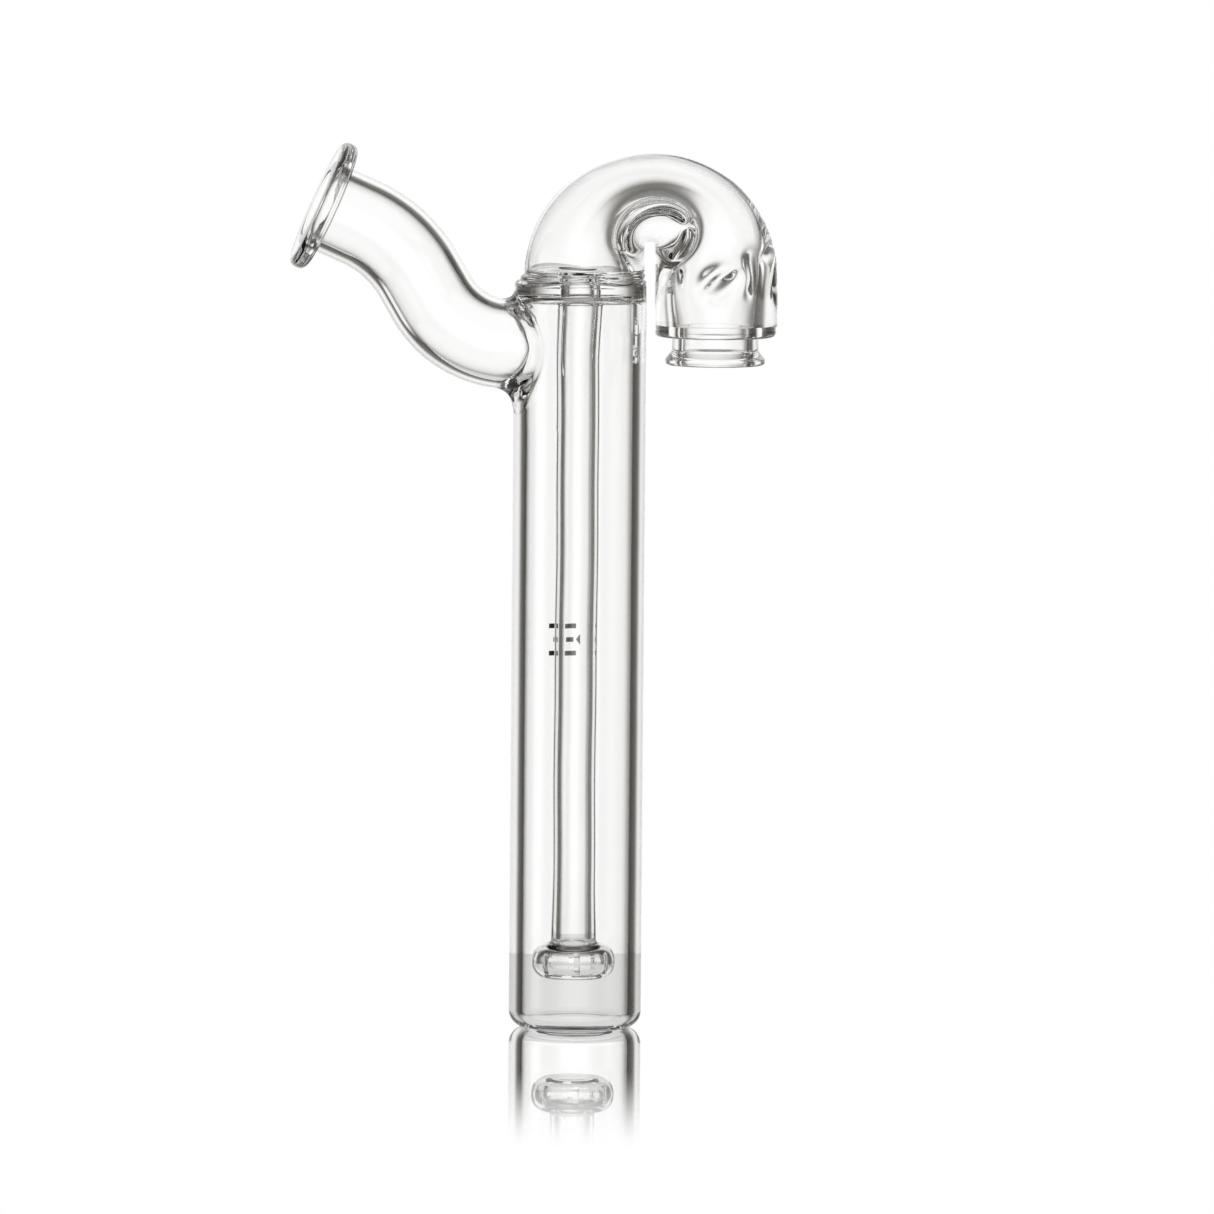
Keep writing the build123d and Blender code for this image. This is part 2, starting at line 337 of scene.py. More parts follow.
azimuth = math.radians(camera_azimuth)
eye = Vector((math.sin(azimuth) * camera_away, -math.cos(azimuth) * camera_away, camera_height))
lens = bpy.data.cameras.new("camera")
lens.sensor_width = 36
lens.lens = frame_scale * (eye - aim).length * lens.sensor_width / picture_width
lens.clip_start, lens.clip_end = 0.05, 50
camera = bpy.data.objects.new("camera", lens)
camera.location = eye * METRE
camera.rotation_mode = "QUATERNION"
look = (aim - eye).to_track_quat("-Z", "Y")
camera.rotation_quaternion = look @ Matrix.Rotation(math.radians(camera_roll), 3, "Z").to_quaternion()
bpy.context.scene.collection.objects.link(camera)
bpy.context.scene.camera = camera


# ---- arm root: curves shared by the body, the arm and its collar -----------------------------
patch_columns = 47  # half the columns of the body's wall that make way for the arm
patch_rows = 48
patch_low_z = 113.0
patch_high_z = shoulder_z


def rise_axes(rise):
    """Direction towards the mouth and the in-plane normal, for an angle above horizontal."""
    a = math.radians(rise)
    return Vector((-math.cos(a), 0, math.sin(a))), Vector((math.sin(a), 0, math.cos(a)))


def patch_border(low_z, high_z):
    """(turn, z) of the border of the wall's patch, anticlockwise as seen from the arm."""
    step = 2 * math.pi / SEGMENTS
    left, right = -patch_columns, patch_columns
    rows = [low_z + (high_z - low_z) * k / patch_rows for k in range(patch_rows + 1)]
    border = [(k, rows[0]) for k in range(left, right)]
    border += [(right, z) for z in rows[:-1]]
    border += [(k, rows[-1]) for k in range(right, left, -1)]
    border += [(left, z) for z in rows[:0:-1]]
    return [(math.pi - k * step, z) for k, z in border]


def on_wall(turn, z, radius):
    return Vector((radius * math.cos(turn), radius * math.sin(turn), z))


def root_angles():
    """Angles round the arm, one for each point of the patch's border."""
    angles = []
    for turn, z in patch_border(patch_low_z, patch_high_z):
        angles.append(math.atan2(z - arm_root.z, tube_r * (math.pi - turn)))
    return angles


arm_angles = root_angles()
root_step, root_up = rise_axes(root_rise)


def meet_wall(angle, radius, wall_r):
    """Distance along the root line at which a tube of that radius meets the body's wall."""
    side = radius * math.cos(angle)
    lift = radius * math.sin(angle) * root_up.x
    return (arm_root.x + lift + math.sqrt(wall_r**2 - side**2)) / -root_step.x


def wall_curve(radius_at, wall_r):
    """Where a tube round the root line meets the wall, for a radius given by angle."""
    curve = []
    for angle in arm_angles:
        radius = radius_at(angle)
        away = meet_wall(angle, radius, wall_r)
        out = Vector((0, radius * math.cos(angle), 0)) + root_up * (radius * math.sin(angle))
        curve.append(arm_root + root_step * away + out)
    return curve


def collar_reach(angle):
    """How far the weld fillet spreads over the body: least on top, most underneath."""
    below, above = max(-math.sin(angle), 0), max(math.sin(angle), 0)
    return 2.3 + 2.4 * below**2 - 0.4 * above**2


def collar_climb(angle):
    """How far the weld fillet climbs along the arm."""
    below, above = max(-math.sin(angle), 0), max(math.sin(angle), 0)
    return 2.2 + 1.6 * below**2 + 0.6 * above**2


bore_curve = wall_curve(lambda angle: arm_bore_r, tube_r)
inner_bore_curve = wall_curve(lambda angle: arm_bore_r, bore_r)
collar_curve = wall_curve(lambda angle: arm_r + collar_reach(angle), tube_r)


def holed_wall(solid, wall_r, low_z, high_z, curve, hole, below, above):
    """A round wall with the arm's opening. Returns its lowest and highest rings."""
    step = 2 * math.pi / SEGMENTS
    border_place = patch_border(low_z, high_z)
    flat_curve = [(math.atan2(p.y, p.x) % (2 * math.pi), p.z) for p in curve]
    spans = 8
    border = hole
    for k in range(1, spans + 1):
        f = k / spans
        places = [(a[0] + (b[0] - a[0]) * f, a[1] + (b[1] - a[1]) * f)
                  for a, b in zip(flat_curve, border_place)]
        row = solid.ring([on_wall(turn, z, wall_r) for turn, z in places])
        solid.join(border, row)
        border = row
    count = 2 * patch_columns
    low_border = border[:count + 1]
    high_border = border[count + patch_rows:2 * count + patch_rows + 1][::-1]
    right_border = border[count:count + patch_rows + 1]
    left_border = [border[0]] + border[2 * count + patch_rows:][::-1]
    # The rest of the wall beside the patch, on the far side of the tube.
    others = SEGMENTS - count
    turns = [math.pi - (patch_columns + k) * step for k in range(1, others)]
    columns = [right_border]
    heights = [solid.points[i].z for i in right_border]
    for turn in turns:
        columns.append(solid.ring([on_wall(turn, z, wall_r) for z in heights]))
    columns.append(left_border)
    for a, b in zip(columns, columns[1:]):
        solid.join(a, b, closed=False)
    low_ring = low_border + [column[0] for column in columns[1:-1]]
    high_ring = high_border + [column[-1] for column in columns[1:-1]]
    turns_round = [math.pi - (k - patch_columns) * step for k in range(SEGMENTS)]
    for radius, z, slot in below:
        row = solid.ring([on_wall(turn, z, radius) for turn in turns_round])
        solid.join(low_ring, row, slot)
        low_ring = row
    for radius, z, slot in above:
        row = solid.ring([on_wall(turn, z, radius) for turn in turns_round])
        solid.join(high_ring, row, slot)
        high_ring = row
    return low_ring, high_ring


# ---- body ----------------------------------------------------------------------------------
def make_base():
    flat_r = bore_r - floor_corner_r
    outer = glazed(arc(tube_r - base_corner_r, base_corner_r, base_corner_r, -90, 0, 12))
    inner = glazed(arc(flat_r, floor_z + floor_corner_r, floor_corner_r, 0, -90, 12))
    profile = [(0, 0, GLASS), *outer, (tube_r, base_rim_z, WELD), (bore_r, base_rim_z, GLASS)]
    profile += [*inner, (0, floor_z, GLASS)]
    solid = Solid()
    solid.loop(lathe(0, profile))
    return solid.piece("base_glass", "base_disc")


def make_body():
    solid = Solid()
    collar = solid.ring(collar_curve)
    opening = solid.ring(bore_curve)
    solid.join(collar, opening, WELD)
    outer_low, outer_high = holed_wall(
        solid, tube_r, patch_low_z, patch_high_z, collar_curve, collar,
        [(tube_r, base_rim_z, GLASS)], [])
    inner_opening = solid.ring(inner_bore_curve)
    solid.join(opening, inner_opening)
    fillet_z = ceiling_z - ceiling_corner_r
    corner = arc(bore_r - ceiling_corner_r, fillet_z, ceiling_corner_r, 0, 90)[1:]
    inner_low, inner_high = holed_wall(
        solid, bore_r, patch_low_z, fillet_z, inner_bore_curve, inner_opening,
        [(bore_r, base_rim_z, GLASS)], [*glazed(corner), (corner[-1][0], shoulder_z, WELD)])
    solid.join(outer_low, inner_low, WELD)
    solid.join(outer_high, inner_high, WELD)
    return solid.piece("body_glass", "body_tube")


seal_waves = 0.75  # worked ripples to a millimetre of height
seal_dent = 0.22


def seal_top_ring():
    """The seal's upper edge, which is the outside of the gooseneck's foot."""
    half_x = (fold.x - fold_r - rise_low.x) / 2
    return ellipse(rise_low.x + half_x, half_x, crook_half_width, seal_top_z)


def make_ring_seal():
    ceiling_r = bore_r - ceiling_corner_r
    rings = [
        (circle(0, stem_bore_r, ceiling_z), WELD),
        (circle(0, stem_r + stem_flare, ceiling_z), GLASS),
        (circle(0, ceiling_r, ceiling_z), WELD),
        (circle(0, ceiling_r, shoulder_z), WELD),
    ]
    low, top = circle(0, tube_r, shoulder_z), seal_top_ring()
    steps = 24
    for k in range(steps):
        f = smooth_step(0, 1, k / steps)
        z = shoulder_z + (seal_top_z - shoulder_z) * k / steps
        ring = []
        for a, b in zip(low, top):
            point = Vector((a.x + (b.x - a.x) * f, a.y + (b.y - a.y) * f, z))
            wave = math.sin(2 * math.pi * (z * seal_waves + 0.5 * noise.noise(point * 0.2)))
            dent = seal_dent * (1 + wave) * math.sin(math.pi * k / steps)
            ring.append(point - Vector((point.x, point.y, 0)).normalized() * dent)
        rings.append((ring, GLASS))
    rings.append((top, WELD))
    bore = crook_ring(0, inside=True)
    rings.append(([bore[(SEGMENTS // 2 - k) % SEGMENTS] for k in range(SEGMENTS)], GLASS))
    rings.append((circle(0, stem_bore_r + 1.2, seal_top_z), GLASS))
    rings.append((circle(0, stem_bore_r, seal_top_z - 1.0), GLASS))
    solid = Solid()
    solid.loop(rings)
    return solid.piece("ring_seal_glass", "ring_seal")


# ---- downstem and puck ---------------------------------------------------------------------
stem_lean = -0.35  # the downstem and its puck hang a little towards the mouthpiece
stem_draw = -0.22  # its skin is thinner in the middle than at the two joints
flare_low_r, flare_high_r = 0.8, stem_flare


def stem_wander(z):
    """The downstem was drawn by hand, so it wanders a little."""
    return 0.07 * math.sin(z * 0.071 + 1.0) + 0.04 * math.sin(z * 0.23)


def make_downstem():
    low, high = stem_low.z, stem_high.z
    flare_low = arc(stem_r + flare_low_r, low + flare_low_r, flare_low_r, 270, 180)
    flare_high = arc(stem_r + flare_high_r, high - flare_high_r, flare_high_r, 180, 90)
    steps = 80
    start, end = low + flare_low_r, high - flare_high_r
    between = [start + (end - start) * k / steps for k in range(1, steps)]
    outer = flare_low + [(stem_r, z) for z in between] + flare_high
    inner = [(stem_bore_r, z) for z in [high, *between[::-1], low]]
    rings = []
    for i, (radius, z) in enumerate(outer + inner):
        slot = WELD if i in (len(outer) - 1, len(outer) + len(inner) - 1) else GLASS
        clear_top = smooth_step(high, high - 14, z)
        hold = smooth_step(low, low + 12, z) * clear_top
        shift = stem_lean * clear_top + stem_wander(z) * hold
        draw = stem_draw * hold * (0.75 + 0.4 * (high - z) / (high - low))
        thin = draw if i < len(outer) else draw * 0.4
        rings.append(([p + Vector((shift, 0, 0)) for p in circle(0, radius + thin, z)], slot))
    solid = Solid()
    solid.loop(rings)
    return solid.piece("downstem_glass", "downstem")


def puck_profile(inset):
    """Half section of the puck from its top to its bottom, drawn in by inset."""
    side_r = puck_side_r - inset * 0.8
    far = puck_r - inset - side_r
    top, bottom = puck_high.z - inset, puck_low.z + inset
    upper = arc(far, top - side_r, side_r, 90, 0, 10)
    lower = arc(far, bottom + side_r, side_r, 0, -90, 10)
    return upper + lower


def make_puck():
    """A hollow puck with upright slits round its side."""
    solid = Solid()
    middle_z = (puck_low.z + puck_high.z) / 2
    half_slit = slit_width / 2 / puck_r
    turns, cut_columns = [], set()
    for k in range(slit_count):
        centre = -math.pi / 2 + 2 * math.pi * k / slit_count
        pitch = 2 * math.pi / slit_count
        inside = [centre - half_slit + 2 * half_slit * j / 6 for j in range(7)]
        rest = [centre + half_slit + (pitch - 2 * half_slit) * j / 25 for j in range(1, 25)]
        start = len(turns)
        cut_columns.update(range(start, start + 6))
        turns += inside + rest
    count = len(turns)

    def level_ring(radius, z):
        return solid.ring([on_wall(t, z, radius) + Vector((stem_lean, 0, 0)) for t in turns])

    def surface(inset):
        return [level_ring(r, z) for r, z in puck_profile(inset)]

    outer, inner = surface(0), surface(puck_wall)
    cut_rows = {i for i in range(len(outer) - 1)
                if all(abs(solid.points[outer[j][0]].z - middle_z) < slit_height / 2 for j in (i, i + 1))}
    for rows in (outer, inner):
        for i in range(len(rows) - 1):
            for k in range(count):
                if i in cut_rows and k in cut_columns:
                    continue
                n = (k + 1) % count
                solid.face([rows[i][k], rows[i][n], rows[i + 1][n], rows[i + 1][k]], GLASS)
    first, last = min(cut_rows), max(cut_rows) + 1
    for k in cut_columns:
        n = (k + 1) % count
        for i in (first, last):
            solid.face([outer[i][k], outer[i][n], inner[i][n], inner[i][k]], GLASS)
        for side, beside in ((k, k - 1), (n, n)):
            if beside % count not in cut_columns:
                for i in cut_rows:
                    a, b = outer[i][side], outer[i + 1][side]
                    solid.face([a, b, inner[i + 1][side], inner[i][side]], GLASS)
    top_hole = level_ring(stem_bore_r, puck_high.z)
    weld_edge = level_ring(stem_r + flare_low_r, puck_high.z)
    low_hole = level_ring(stem_bore_r, puck_high.z - puck_wall)
    solid.join(outer[0], weld_edge)
    solid.join(weld_edge, top_hole, WELD)
    solid.join(top_hole, low_hole)
    solid.join(low_hole, inner[0])
    for rows, z in ((outer, puck_low.z), (inner, puck_low.z + puck_wall)):
        solid.join(rows[-1], solid.ring([Vector((stem_lean, 0, z))]))
    return solid.piece("puck_glass", "diffuser_puck")


# ---- gooseneck -----------------------------------------------------------------------------
# Glass on the fold side and on the crown side of the bore, by station. Stations 0 to 1 are the
# leg on the ring seal, 1 to 2 go round the fold, and 2 to 3 are the drop leg.
fold_walls = [(0, 3.3), (1, 4.4), (1.25, 5.4), (1.5, 6.0), (1.75, 6.5), (1.85, 6.1),
              (2, 4.6), (2.2, 3.1), (2.5, 2.8), (3, 3.3)]
crown_walls = [(0, 1.0), (1, 0.6), (1.33, 0.5), (1.5, 0.5), (1.67, 0.5), (1.8, 0.6),
               (1.9, 1.0), (2, 2.0), (2.2, 2.9), (2.6, 3.3), (3, 3.5)]
# How square the bore is on its fold side: 2 is an ellipse.
fold_squareness = [(0, 2.0), (1, 2.6), (2, 2.6), (2.6, 2.0), (3, 2.0)]
rise_steps, fan_steps, drop_steps = 12, 160, 44
crook_stations = [k / rise_steps for k in range(rise_steps)]
crook_stations += [1 + k / fan_steps for k in range(fan_steps)]
crook_stations += [2 + k / drop_steps for k in range(drop_steps + 1)]
easing_passes = 20
pinches = [(-93, 1.0), (27, 0.7), (147, 0.4)]  # turn about the drop leg, share of the full depth
pinch_z = 141.8
pinch_slant = math.radians(38)  # each pinch is longer along a slant than across it
outer_pinch = {"depth": 4.0, "long": 2.6, "short": 1.2}
inner_pinch = {"depth": 3.4, "long": 3.6, "short": 3.0}


def crown_reach(direction):
    """Distance from the fold's centre to the crown's circle."""
    offset = fold - crook_centre
    along = offset.dot(direction)
    return math.sqrt(crook_r**2 - offset.length_squared + along**2) - along


def crook_section(station):
    """Origin, direction towards the crown, and reach to the fold-side and crown-side faces."""
    if 1 <= station <= 2:
        a = math.radians(180 * (2 - station))
        direction = Vector((math.cos(a), 0, math.sin(a)))
        return fold, direction, fold_r, crown_reach(direction)
    if station < 1:
        z = seal_top_z + (fold.z - seal_top_z) * station
        rise = max(z - crook_centre.z, 0)
        far = fold.x - (crook_centre.x - math.sqrt(crook_r**2 - rise**2))
        return Vector((fold.x, 0, z)), Vector((-1, 0, 0)), fold_r, far
    z = fold.z + (shoulder_high.z - fold.z) * (station - 2)
    rise = max(z - crook_centre.z, 0)
    far = crook_centre.x + math.sqrt(crook_r**2 - rise**2) - fold.x
    near = fold_r + (slot_leg_x - fold.x - fold_r) * smooth_step(2, 2.4, station)
    return Vector((fold.x, 0, z)), Vector((1, 0, 0)), near, far


def pinched(point, depth, long, short):
    """Moves a point of the drop leg inward near each pinch."""
    moved = point.copy()
    for turn, share in pinches:
        a = math.radians(turn)
        outward, beside = Vector((math.cos(a), math.sin(a), 0)), Vector((-math.sin(a), math.cos(a), 0))
        offset = point - Vector((outlet_x, 0, pinch_z))
        if offset.dot(outward) <= 0:
            continue
        aside, above = offset.dot(beside), offset.z
        along = (aside * math.cos(pinch_slant) + above * math.sin(pinch_slant)) / long
        across = (above * math.cos(pinch_slant) - aside * math.sin(pinch_slant)) / short
        moved -= outward * depth * share * math.exp(-along**2 - across**2)
    return moved


def crook_ring(station, inside=False):
    """One ring of the gooseneck's outside, or of its bore."""
    centre, direction, near, far = crook_section(station)
    half_width = crook_half_width - 0.1 * smooth_step(2.5, 3, station)
    power = 1
    if inside:
        near += smooth_lookup(fold_walls, station)
        far -= smooth_lookup(crown_walls, station)
        half_width -= side_wall
        power = 2 / smooth_lookup(fold_squareness, station)
    middle = centre + direction * ((near + far) / 2)
    half = (far - near) / 2
    points = []
    for k in range(SEGMENTS):
        t = 2 * math.pi * k / SEGMENTS
        reach, width = math.cos(t), math.sin(t)
        if reach < 0:
            reach = -abs(reach) ** power
            width = math.copysign(abs(width) ** power, width)
        points.append(middle + direction * (half * reach) + Vector((0, half_width * width, 0)))
    return points


def crook_rows(inside, pinch):
    """Every ring of the gooseneck, eased along it, with the pinches pressed in."""
    rows = [crook_ring(station, inside) for station in crook_stations]
    for _ in range(easing_passes):
        eased = [[(a + b * 2 + c) / 4 for a, b, c in zip(*near)]
                 for near in zip(rows, rows[1:], rows[2:])]
        rows = [rows[0], *eased, rows[-1]]
    first, last = rise_steps + fan_steps - 12, len(rows) - 6  # the rows that a pinch may reach
    for i in range(first, last):
        rows[i] = [pinched(point, **pinch) for point in rows[i]]
    return rows


def make_gooseneck(name, node, outer, inner):
    """One half of the gooseneck, with fused faces at both ends."""
    rings = [(row, GLASS) for row in outer[:-1]] + [(outer[-1], WELD)]
    rings += [(row, GLASS) for row in inner[:0:-1]] + [(inner[0], WELD)]
    solid = Solid()
    solid.loop(rings)
    return solid.piece(name, node)


# ---- outlet --------------------------------------------------------------------------------
def make_shoulder():
    low, high, corner = shoulder_low.z, shoulder_high.z, 1.0
    rings = lathe(outlet_x, [
        (outlet_neck_r, low, GLASS),
        *glazed(arc(shoulder_r - corner, low + corner, corner, -90, 0)),
        (shoulder_r, high, WELD),
    ])
    rings.append((crook_ring(3, inside=True), GLASS))
    rings += lathe(outlet_x, [(outlet_bore_r, high, GLASS), (outlet_bore_r, low, WELD)])
    solid = Solid()
    solid.loop(rings)
    return solid.piece("shoulder_glass", "outlet_shoulder")


def make_neck():
    low, high, corner = neck_low.z, neck_high.z, 0.6
    side_z, cone_z = low + 1.5, low + 2.4
    profile = [
        (outlet_bore_r, high, GLASS),
        (outlet_bore_r, low + corner, GLASS),
        *glazed(arc(outlet_bore_r + corner, low + corner, corner, 180, 270))[1:],
        *glazed(arc(bead_r - corner, low + corner, corner, -90, 0)),
        *glazed(arc(bead_r - corner, side_z - corner, corner, 0, 50)),
        *glazed(arc(outlet_neck_r + 0.8, cone_z + 0.6, 0.8, 220, 180)),
        (outlet_neck_r, high, WELD),
    ]
    solid = Solid()
    solid.loop(lathe(outlet_x, profile))
    return solid.piece("outlet_neck_glass", "outlet_neck")


# ---- mouthpiece arm --------------------------------------------------------------------------
low_bend_run = low_bend_r * math.radians(middle_rise - root_rise)
high_bend_run = high_bend_r * math.radians(middle_rise - mouth_rise)
arm_run = low_bend_run + middle_run + high_bend_run + mouth_run


def arm_axis(away):
    """Point, direction and in-plane normal of the arm's centreline, from the root point."""
    point = arm_root.copy()
    step, up = rise_axes(root_rise)
    if away <= 0:
        return point + step * away, step, up
    turned = min(away / low_bend_r, math.radians(middle_rise - root_rise))
    pivot = point + up * low_bend_r
    step, up = rise_axes(root_rise + math.degrees(turned))
    point = pivot - up * low_bend_r
    away -= low_bend_run
    if away <= 0:
        return point, step, up
    point += step * min(away, middle_run)
    away -= middle_run
    if away <= 0:
        return point, step, up
    turned = min(away / high_bend_r, math.radians(middle_rise - mouth_rise))
    pivot = point - up * high_bend_r
    step, up = rise_axes(middle_rise - math.degrees(turned))
    point = pivot + up * high_bend_r
    away -= high_bend_run
    return point + step * max(away, 0), step, up


def arm_point(away, angle, radius):
    point, step, up = arm_axis(away)
    return point + Vector((0, radius * math.cos(angle), 0)) + up * (radius * math.sin(angle))


def arm_rings(starts, radius, end, steps):
    """Rings along the arm from a start of its own at each angle to one common end."""
    rings = []
    for k in range(steps + 1):
        f = k / steps
        rings.append([arm_point(start + (end - start) * f, angle, radius)
                      for start, angle in zip(starts, arm_angles)])
    return rings


def make_arm_root(end):
    """The arm's first length, from the body's wall; the collar covers its outside there."""
    outer_start = [meet_wall(a, arm_r, tube_r) for a in arm_angles]
    collar_end = [s + collar_climb(a) for s, a in zip(outer_start, arm_angles)]
    bore_start = [meet_wall(a, arm_bore_r, tube_r) for a in arm_angles]
    steps = 24
    outer = arm_rings(collar_end, arm_r, end, steps)
    inner = arm_rings(bore_start, arm_bore_r, end, steps)
    foot = [arm_point(s, a, arm_r) for s, a in zip(outer_start, arm_angles)]
    rings = [(foot, WELD)] + [(ring, GLASS) for ring in outer[:-1]] + [(outer[-1], WELD)]
    rings += [(ring, GLASS) for ring in inner[:0:-1]] + [(inner[0], WELD)]
    solid = Solid()
    solid.loop(rings)
    return solid.piece("arm_root_glass", "arm_root_bend")


def make_arm_length(name, node, start, end):
    """A further length of the arm, with fused faces at both ends."""
    starts = [start] * len(arm_angles)
    outer = arm_rings(starts, arm_r, end, 32)
    inner = arm_rings(starts, arm_bore_r, end, 32)
    rings = [(ring, GLASS) for ring in outer[:-1]] + [(outer[-1], WELD)]
    rings += [(ring, GLASS) for ring in inner[:0:-1]] + [(inner[0], WELD)]
    solid = Solid()
    solid.loop(rings)
    return solid.piece(name, node)


def make_collar():
    foot = [arm_point(meet_wall(a, arm_r, tube_r), a, arm_r) for a in arm_angles]
    climb = [arm_point(meet_wall(a, arm_r, tube_r) + collar_climb(a), a, arm_r) for a in arm_angles]
    steps = 10
    rings = []
    for k in range(steps + 1):
        f = k / steps
        ring = []
        for low, corner, high, angle in zip(collar_curve, foot, climb, arm_angles):
            point = low * (1 - f) ** 2 + corner * (2 * f * (1 - f)) + high * f**2
            out = (low + high) / 2 - corner
            lump = noise.noise(point * 0.55) * max(math.sin(angle), 0.15)
            ring.append(point + out * (0.35 * lump * math.sin(math.pi * f)))
        rings.append((ring, GLASS))
    rings[-1] = (rings[-1][0], WELD)
    rings.append((foot, WELD))
    solid = Solid()
    solid.loop(rings)
    return solid.piece("collar_glass", "arm_collar")


def make_flange():
    end, step, up = arm_axis(arm_run)
    across = Vector((0, 1, 0))
    angles = [2 * math.pi * k / SEGMENTS for k in range(SEGMENTS)]
    far = flange_r - flange_corner_r
    profile = [(arm_bore_r, 0, WELD), (arm_r, 0, GLASS)]
    profile += glazed(arc(far, flange_corner_r, flange_corner_r, -90, 0))
    profile += glazed(arc(far, flange_thick - flange_corner_r, flange_corner_r, 0, 90))
    profile += glazed(arc(arm_bore_r + 0.7, flange_thick - 0.7, 0.7, 90, 180))
    rings = [(ring_about(end + step * height, across, up, radius, angles), slot)
             for radius, height, slot in profile]
    solid = Solid()
    solid.loop(rings)
    return solid.piece("flange_glass", "mouthpiece_flange")


make_base()
make_body()
make_ring_seal()
make_downstem()
make_puck()
crook_outside, crook_inside = crook_rows(False, outer_pinch), crook_rows(True, inner_pinch)
crown = rise_steps + fan_steps // 2
make_gooseneck("gooseneck_rise_glass", "gooseneck_rise",
               crook_outside[:crown + 1], crook_inside[:crown + 1])
make_gooseneck("gooseneck_drop_glass", "gooseneck_drop", crook_outside[crown:], crook_inside[crown:])
make_shoulder()
make_neck()
arm_cuts = [low_bend_run / 2, low_bend_run + middle_run / 2, arm_run - mouth_run - high_bend_run / 2]
make_arm_root(arm_cuts[0])
make_arm_length("arm_low_glass", "arm_low_climb", arm_cuts[0], arm_cuts[1])
make_arm_length("arm_high_glass", "arm_high_climb", arm_cuts[1], arm_cuts[2])
make_arm_length("arm_mouth_glass", "arm_mouth_bend", arm_cuts[2], arm_run)
make_collar()
make_flange()

mark = frame["nodes"]["fill_mark"]
mark.data.materials.clear()
mark.data.materials.append(ink_material())


# ---- table and light -----------------------------------------------------------------------
def math_node(tree, operation, first, second=None):
    """A Math node whose inputs are sockets or numbers."""
    node = tree.nodes.new("ShaderNodeMath")
    node.operation = operation
    for socket, value in zip(node.inputs, (first, second)):
        if isinstance(value, (int, float)):
            socket.default_value = value
        elif value is not None:
            tree.links.new(value, socket)
    return node.outputs["Value"]


def ramp_node(tree, factor, stops, low, high):
    """A grey ramp over low to high, with (position, brightness) stops; brightness up to 2."""
    node = tree.nodes.new("ShaderNodeValToRGB")
    elements = node.color_ramp.elements
    while len(elements) > 1:
        elements.remove(elements[-1])
    for i, (position, level) in enumerate(stops):
        place = (position - low) / (high - low)
        element = elements[0] if i == 0 else elements.new(place)
        element.position = place
        element.color = (level / 2, level / 2, level / 2, 1)
    span = math_node(tree, "DIVIDE", math_node(tree, "SUBTRACT", factor, low), high - low)
    tree.links.new(span, node.inputs["Fac"])
    return math_node(tree, "MULTIPLY", node.outputs["Color"], 2)


def lobe(tree, direction, looking, stops):
    """Brightness by the angle in degrees between a direction and the one looked in."""
    towards = tree.nodes.new("ShaderNodeVectorMath")
    towards.operation = "DOT_PRODUCT"
    towards.inputs[1].default_value = Vector(direction).normalized()
    tree.links.new(looking, towards.inputs[0])
    cosine = math_node(tree, "MINIMUM", towards.outputs["Value"], 1)
    angle = math_node(tree, "DEGREES", math_node(tree, "ARCCOSINE", cosine))
    return ramp_node(tree, angle, stops, 0, 180)


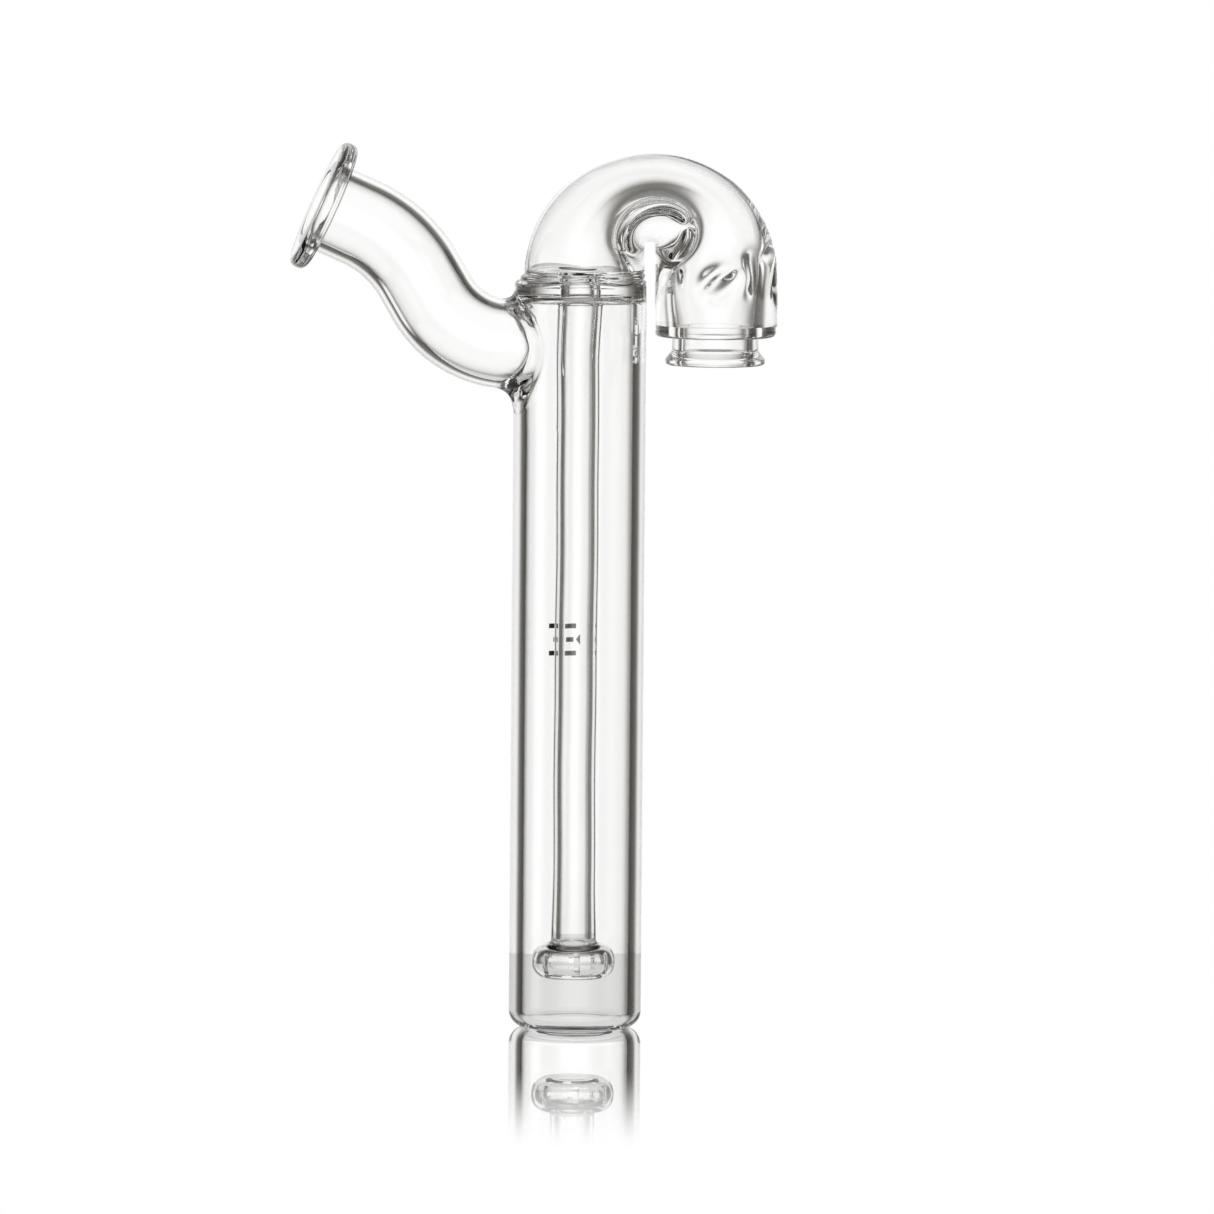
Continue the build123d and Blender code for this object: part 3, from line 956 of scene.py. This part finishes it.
def make_studio():
    """White to the camera, and a different studio to the light that comes through the glass.

    That one has a card behind the object, another in front and dark sides. The folded patches
    are the same on both sides of the x and y axes: left and right, two heights of diagonal that
    light the glass in raised corner views, and one overhead.
    """
    world = bpy.data.worlds.new("studio")
    bpy.context.scene.world = world
    world.use_nodes = True
    tree = world.node_tree
    tree.nodes.clear()
    place = tree.nodes.new("ShaderNodeTexCoord")
    seen = place.outputs["Generated"]
    mirrored = tree.nodes.new("ShaderNodeVectorMath")
    mirrored.operation = "ABSOLUTE"
    tree.links.new(seen, mirrored.inputs[0])
    split, whole = tree.nodes.new("ShaderNodeSeparateXYZ"), tree.nodes.new("ShaderNodeSeparateXYZ")
    tree.links.new(mirrored.outputs["Vector"], split.inputs[0])
    tree.links.new(seen, whole.inputs[0])
    level_folded = tree.nodes.new("ShaderNodeCombineXYZ")
    tree.links.new(split.outputs["X"], level_folded.inputs["X"])
    tree.links.new(split.outputs["Y"], level_folded.inputs["Y"])
    tree.links.new(whole.outputs["Z"], level_folded.inputs["Z"])
    folded = level_folded.outputs[0]

    # Brightness by angle from straight behind the object.
    card = [(0, 1.07), (10, 1.05), (19, 0.97), (23, 0.84), (26, 0.66), (29, 0.45), (32, 0.26),
            (36, 0.11), (42, 0.05), (58, 0.05), (68, 0.11), (90, 0.15), (112, 0.11),
            (122, 0.05), (132, 0.05), (138, 0.1), (146, 0.38), (152, 0.7), (161, 0.93), (180, 1.0)]
    level = lobe(tree, (0.03, 1, 0), seen, card)
    for direction, stops in (
        ((1, 0, 0), [(0, 1.0), (9, 0.9), (13, 0.5), (18, 0.1), (24, 0)]),
        ((1, 1, -0.38), [(0, 0.95), (4.5, 0.8), (7, 0.2), (8.5, 0)]),
        ((1, 1, -0.68), [(0, 0.95), (6, 0.9), (9, 0.4), (12, 0)]),
        ((0, 0, 1), [(0, 0.5), (16, 0.4), (24, 0.15), (32, 0)]),
    ):
        level = math_node(tree, "ADD", level, lobe(tree, direction, folded, stops))

    # White where the camera looks, and for its first reflection if that points up, which is
    # what the table's polish shows and also the glass's own upward reflections.
    light_path = tree.nodes.new("ShaderNodeLightPath")
    first = math_node(tree, "LESS_THAN", light_path.outputs["Ray Depth"], 2.5)
    upward = math_node(tree, "GREATER_THAN", whole.outputs["Z"], 0)
    polished = math_node(tree, "MULTIPLY", light_path.outputs["Is Reflection Ray"], first)
    polished = math_node(tree, "MULTIPLY", polished, upward)
    plain = math_node(tree, "MAXIMUM", light_path.outputs["Is Camera Ray"], polished)
    mixed = tree.nodes.new("ShaderNodeMix")
    mixed.data_type = "RGBA"
    warm = tree.nodes.new("ShaderNodeCombineColor")
    tree.links.new(level, warm.inputs["Red"])
    tree.links.new(math_node(tree, "POWER", level, 1.02), warm.inputs["Green"])
    tree.links.new(math_node(tree, "POWER", level, 1.08), warm.inputs["Blue"])
    tree.links.new(plain, mixed.inputs["Factor"])
    tree.links.new(warm.outputs["Color"], mixed.inputs["A"])
    mixed.inputs["B"].default_value = (1, 1, 1, 1)
    background = tree.nodes.new("ShaderNodeBackground")
    tree.links.new(mixed.outputs["Result"], background.inputs["Color"])
    output = tree.nodes.new("ShaderNodeOutputWorld")
    tree.links.new(background.outputs["Background"], output.inputs["Surface"])


def make_table():
    """A small table top: white with a polish near the object, and one grey through the glass."""
    table_r, table_y = 0.18, -0.05
    grey = 0.7
    polish_full, polish_gone = 66, 192  # millimetres from the body's axis
    mesh = bpy.data.meshes.new("table_top")
    shape = bmesh.new()
    bmesh.ops.create_circle(shape, cap_ends=True, segments=128, radius=table_r)
    shape.to_mesh(mesh)
    shape.free()
    table = bpy.data.objects.new("table_top", mesh)
    table.location = (0, table_y, -0.00002)
    bpy.context.scene.collection.objects.link(table)
    material = bpy.data.materials.new("table_white")
    material.use_nodes = True
    tree = material.node_tree
    tree.nodes.clear()
    path = tree.nodes.new("ShaderNodeLightPath")
    place = tree.nodes.new("ShaderNodeTexCoord")
    away = tree.nodes.new("ShaderNodeVectorMath")
    away.operation = "LENGTH"
    shift = tree.nodes.new("ShaderNodeVectorMath")
    shift.operation = "ADD"
    shift.inputs[1].default_value = (0, table_y, 0)
    tree.links.new(place.outputs["Object"], shift.inputs[0])
    tree.links.new(shift.outputs["Vector"], away.inputs[0])
    distance = math_node(tree, "MULTIPLY", away.outputs["Value"], 1000)
    fade = tree.nodes.new("ShaderNodeMapRange")
    fade.interpolation_type = "SMOOTHSTEP"
    fade.inputs["From Min"].default_value = polish_full
    fade.inputs["From Max"].default_value = polish_gone
    fade.inputs["To Min"].default_value = 1
    fade.inputs["To Max"].default_value = 0
    tree.links.new(distance, fade.inputs["Value"])
    polish = fade.outputs["Result"]
    white = tree.nodes.new("ShaderNodeEmission")
    mirror = tree.nodes.new("ShaderNodeBsdfGlossy")
    mirror.inputs["Color"].default_value = (1, 1, 1, 1)
    mirror.inputs["Roughness"].default_value = 0.0
    seen = tree.nodes.new("ShaderNodeMixShader")
    tree.links.new(polish, seen.inputs["Fac"])
    tree.links.new(white.outputs[0], seen.inputs[1])
    tree.links.new(mirror.outputs[0], seen.inputs[2])
    facing = tree.nodes.new("ShaderNodeLayerWeight")
    pale = tree.nodes.new("ShaderNodeEmission")
    pale.inputs["Strength"].default_value = grey
    sheen = tree.nodes.new("ShaderNodeBsdfGlossy")
    sheen.inputs["Color"].default_value = (0.78, 0.78, 0.775, 1)
    sheen.inputs["Roughness"].default_value = 0.0
    grazing = ramp_node(tree, facing.outputs["Facing"], [(0.62, 0), (0.78, 1)], 0, 1)
    through = tree.nodes.new("ShaderNodeMixShader")
    tree.links.new(grazing, through.inputs["Fac"])
    tree.links.new(pale.outputs[0], through.inputs[1])
    tree.links.new(sheen.outputs[0], through.inputs[2])
    both = tree.nodes.new("ShaderNodeMixShader")
    tree.links.new(path.outputs["Is Camera Ray"], both.inputs["Fac"])
    tree.links.new(through.outputs[0], both.inputs[1])
    tree.links.new(seen.outputs[0], both.inputs[2])
    output = tree.nodes.new("ShaderNodeOutputMaterial")
    tree.links.new(both.outputs[0], output.inputs["Surface"])
    mesh.materials.append(material)


make_studio()
make_table()

scene = bpy.context.scene
scene.view_settings.view_transform = "Standard"
scene.cycles.max_bounces = 40
scene.cycles.transmission_bounces = 40
scene.cycles.glossy_bounces = 12
scene.cycles.transparent_max_bounces = 40
